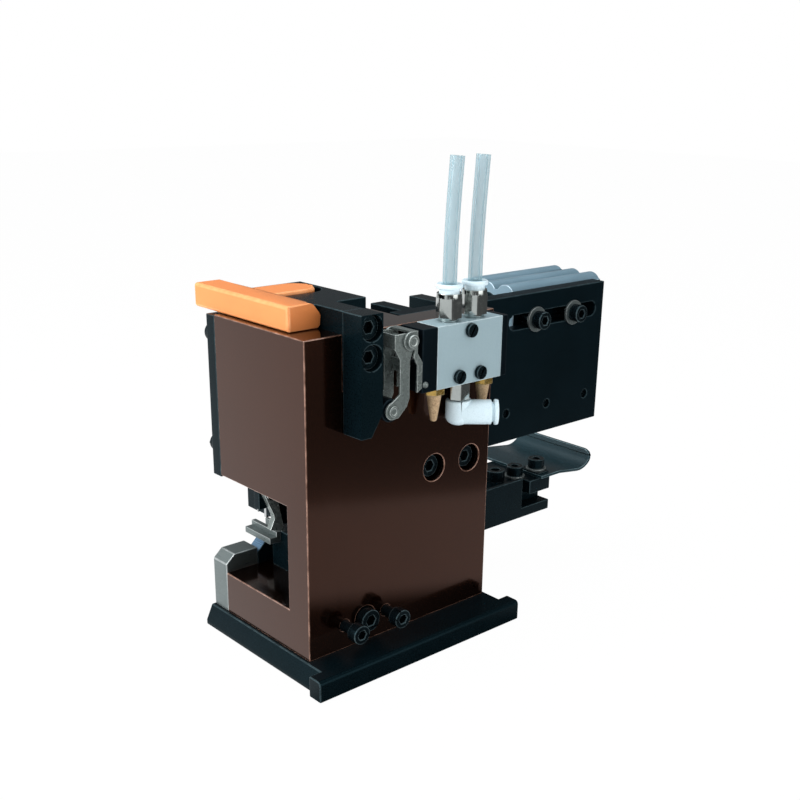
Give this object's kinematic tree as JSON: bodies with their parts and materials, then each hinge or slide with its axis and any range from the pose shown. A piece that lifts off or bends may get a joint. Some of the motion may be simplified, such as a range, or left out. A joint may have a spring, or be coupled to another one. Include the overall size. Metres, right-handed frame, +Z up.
{
  "type": "crimp applicator",
  "caption": "Bench crimping tool: C-frame with a vertical ram, punches and anvils, a pneumatic strip feed on one side, a roller-lever air valve and a pull-out transport lock.",
  "frame": {"origin": "point of the base's bottom face straight under the crimp axis", "axes": "+X along the strip towards the feed cylinder, +Y from the rear wall towards the operator, +Z up along the ram"},
  "size_m": [0.2147, 0.1043, 0.214],
  "materials": {
    "black_steel": "black oxide, satin",
    "screw_steel": "black oxide",
    "bronze_plate": "brown plated, satin",
    "steel": "ground",
    "bright_rod": "polished",
    "orange_plastic": "satin",
    "cylinder_alloy": "anodised",
    "valve_alloy": "satin anodised",
    "black_plastic": "matt",
    "brass": "sintered bronze",
    "nickel": "nickel plated",
    "white_plastic": "satin",
    "clear_tube": "clear"
  },
  "bodies": {
    "frame": {"base_plate": "black_steel", "base_screws": "screw_steel", "c_frame": "bronze_plate", "ram_cover": "black_steel", "front_screws": "screw_steel", "front_plate": "steel", "anvil_block": "steel", "wire_anvil": "steel", "insulation_anvil": "steel", "guide_rail": "steel", "rear_screws": "screw_steel", "feed_track": "black_steel", "strip_tray": "black_steel", "clamp_bar": "black_steel", "table_screws": "screw_steel", "washers": "steel", "feed_plate": "black_steel", "slot_screws": "screw_steel", "stop_screw": "steel", "feed_rail": "steel", "rail_screws": "screw_steel", "cylinder_body": "cylinder_alloy", "cylinder_ends": "cylinder_alloy", "cylinder_fittings": "nickel", "valve_body": "valve_alloy", "valve_caps": "black_plastic", "valve_screws": "black_plastic", "valve_spring": "steel", "lever_bracket": "steel", "lever_pin": "steel", "silencers": "brass", "straight_fittings": "nickel", "elbow_hex": "nickel", "tube_left": "clear_tube", "tube_right": "clear_tube"},
    "ram": {"ram": "black_steel", "cam_bar": "black_steel", "cam_bar_screws": "screw_steel", "punch_shim": "steel", "punch_holder": "black_steel", "wire_punch": "steel", "insulation_punch": "steel", "holder_screws": "screw_steel", "shear_pusher": "steel"},
    "lock": {"transport_lock": "orange_plastic"},
    "lever": {"roller_lever": "steel"},
    "roller": {"roller": "black_plastic"},
    "spool": {"valve_spool": "bright_rod"},
    "carriage": {"piston_rod": "bright_rod", "rod_nut": "steel", "drive_plate": "black_steel", "feed_carriage": "steel", "feed_arm": "black_steel", "finger_pin": "steel"},
    "finger": {"feed_finger": "steel"},
    "elbow": {"elbow_body": "white_plastic"},
    "elbow_ring": {"elbow_ring": "white_plastic"},
    "ring_left": {"ring_left": "white_plastic"},
    "ring_right": {"ring_right": "white_plastic"}
  },
  "joints": [
    {"name": "ram_slide", "type": "slide", "parent": "frame", "child": "ram", "axis": [0, 0, 1], "range_m": [0, 0.03]},
    {"name": "lock_slide", "type": "slide", "parent": "ram", "child": "lock", "axis": [-1, 0, 0], "range_m": [0, 0.03]},
    {"name": "lever_hinge", "type": "hinge", "parent": "frame", "child": "lever", "pos_m": [0.0134, -0.05465, 0.144], "axis": [0, 1, 0], "range_deg": [0, 8]},
    {"name": "roller_spin", "type": "hinge", "parent": "lever", "child": "roller", "pos_m": [0.0049, -0.05465, 0.1162], "axis": [0, 1, 0], "continuous": true},
    {"name": "spool_slide", "type": "slide", "parent": "frame", "child": "spool", "axis": [-1, 0, 0], "range_m": [0, 0.0012], "deforming": ["valve_spring"]},
    {"name": "feed_slide", "type": "slide", "parent": "frame", "child": "carriage", "axis": [1, 0, 0], "range_m": [0, 0.025]},
    {"name": "finger_hinge", "type": "hinge", "parent": "carriage", "child": "finger", "pos_m": [-0.0207, -0.008, 0.072], "axis": [0, -1, 0], "range_deg": [0, 25], "stiffness_Nm_per_rad": 0.02},
    {"name": "elbow_swivel", "type": "hinge", "parent": "frame", "child": "elbow", "pos_m": [0.0468, -0.05465, 0.107], "axis": [0, 0, 1], "range_deg": [-100, 0]},
    {"name": "elbow_ring_press", "type": "slide", "parent": "elbow", "child": "elbow_ring", "axis": [-0.766, 0.6428, 0], "range_m": [0, 0.001], "stiffness_N_per_m": 300},
    {"name": "ring_left_press", "type": "slide", "parent": "frame", "child": "ring_left", "axis": [0, 0, -1], "range_m": [0, 0.001], "stiffness_N_per_m": 300},
    {"name": "ring_right_press", "type": "slide", "parent": "frame", "child": "ring_right", "axis": [0, 0, -1], "range_m": [0, 0.001], "stiffness_N_per_m": 300}
  ],
  "couplings": [
    {"joint": "lever_hinge", "follows": "ram_slide", "rad_per_m": 4.6496},
    {"joint": "spool_slide", "follows": "ram_slide", "ratio": 0.039}
  ]
}
